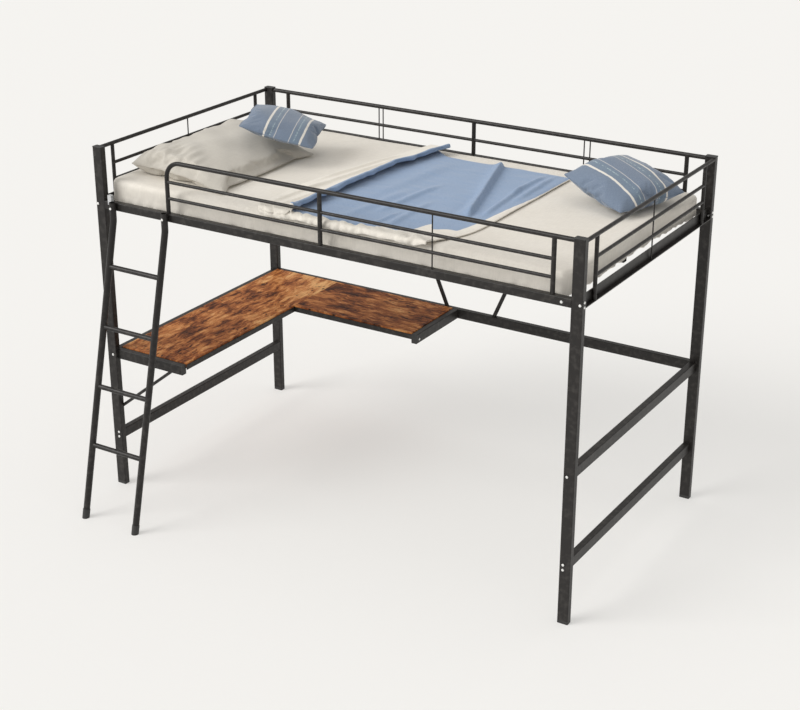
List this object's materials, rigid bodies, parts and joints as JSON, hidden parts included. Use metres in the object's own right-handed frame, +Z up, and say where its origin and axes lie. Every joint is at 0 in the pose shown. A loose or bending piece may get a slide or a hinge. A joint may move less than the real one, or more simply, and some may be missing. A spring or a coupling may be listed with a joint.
{
  "type": "loft bed with desk",
  "caption": "Low metal loft bed with guard rails, leaning ladder, L-shaped board desk underneath, mattress, pillows and a folded blanket.",
  "frame": {"origin": "on the floor, in the middle of the footprint of frame and ladder", "axes": "+X along the bed from head to foot, +Y from the ladder side to the back, +Z up"},
  "size_m": [1.9852, 1.384, 1.435],
  "materials": {
    "black_steel": "fine matte charcoal powder coat",
    "black_plastic": "matte moulded black plastic",
    "bolt_chrome": "bright zinc plated button heads",
    "clear_plastic": "frosted clear plastic",
    "rustic_board": "rustic brown board with dark knots and streaks",
    "cream_sheet": "cream cotton fitted sheet",
    "pillow_cotton": "grey-beige washed cotton",
    "striped_weave": "blue slub weave with cream stripes",
    "blue_blanket": "dusty blue cotton with a cream reverse"
  },
  "bodies": {
    "frame": {"back_guard_rails": "black_steel", "back_guard_top_tube": "black_steel", "back_guard_uprights": "black_steel", "back_mid_beam": "black_steel", "bed_slats": "black_steel", "desk_arm_end_caps": "black_plastic", "desk_arm_front": "black_steel", "desk_arm_right": "black_steel", "desk_board_back": "rustic_board", "desk_board_left": "rustic_board", "desk_bolt": "bolt_chrome", "desk_front_beam": "black_steel", "desk_inner_beam": "black_steel", "desk_strut": "black_steel", "end_rail_left": "black_steel", "end_rail_right": "black_steel", "frame_bolts": "bolt_chrome", "front_guard_rails": "black_steel", "front_guard_top_tube": "black_steel", "front_guard_uprights": "black_steel", "hanger_brace_left": "black_steel", "hanger_brace_right": "black_steel", "ladder_bolts": "bolt_chrome", "ladder_foot_caps": "black_plastic", "ladder_joint_sleeves": "black_steel", "ladder_rung_1": "black_steel", "ladder_rung_2": "black_steel", "ladder_rung_3": "black_steel", "ladder_rung_4": "black_steel", "ladder_stile_lower_left": "black_steel", "ladder_stile_lower_right": "black_steel", "ladder_stile_upper_left": "black_steel", "ladder_stile_upper_right": "black_steel", "left_guard_rails": "black_steel", "left_guard_top_tube": "black_steel", "left_guard_uprights": "black_steel", "low_beam_left": "black_steel", "low_beam_right": "black_steel", "mid_beam_left": "black_steel", "mid_beam_right": "black_steel", "post_back_left": "black_steel", "post_back_right": "black_steel", "post_foot_caps": "black_plastic", "post_front_left": "black_steel", "post_front_right": "black_steel", "post_top_caps": "black_plastic", "rail_clip": "clear_plastic", "right_guard_rails": "black_steel", "right_guard_top_tube": "black_steel", "right_guard_uprights": "black_steel", "side_rail_back": "black_steel", "side_rail_front": "black_steel", "slat_support_beam": "black_steel"},
    "mattress": {"mattress": "cream_sheet"},
    "blanket": {"blanket": "blue_blanket"},
    "sleeping_pillow": {"sleeping_pillow": "pillow_cotton"},
    "striped_pillow_head": {"striped_pillow_head": "striped_weave"},
    "striped_pillow_foot": {"striped_pillow_foot": "striped_weave"}
  },
  "joints": [
    {"name": "mattress_lift", "type": "slide", "parent": "frame", "child": "mattress", "axis": [0, 0, 1], "range_m": [0, 0.3]},
    {"name": "blanket_lift", "type": "slide", "parent": "mattress", "child": "blanket", "axis": [0, 0, 1], "range_m": [0, 0.25]},
    {"name": "sleeping_pillow_lift", "type": "slide", "parent": "mattress", "child": "sleeping_pillow", "axis": [0, 0, 1], "range_m": [0, 0.25]},
    {"name": "striped_pillow_head_lift", "type": "slide", "parent": "sleeping_pillow", "child": "striped_pillow_head", "axis": [0, 0, 1], "range_m": [0, 0.25]},
    {"name": "striped_pillow_foot_lift", "type": "slide", "parent": "mattress", "child": "striped_pillow_foot", "axis": [0, 0, 1], "range_m": [0, 0.25]}
  ]
}
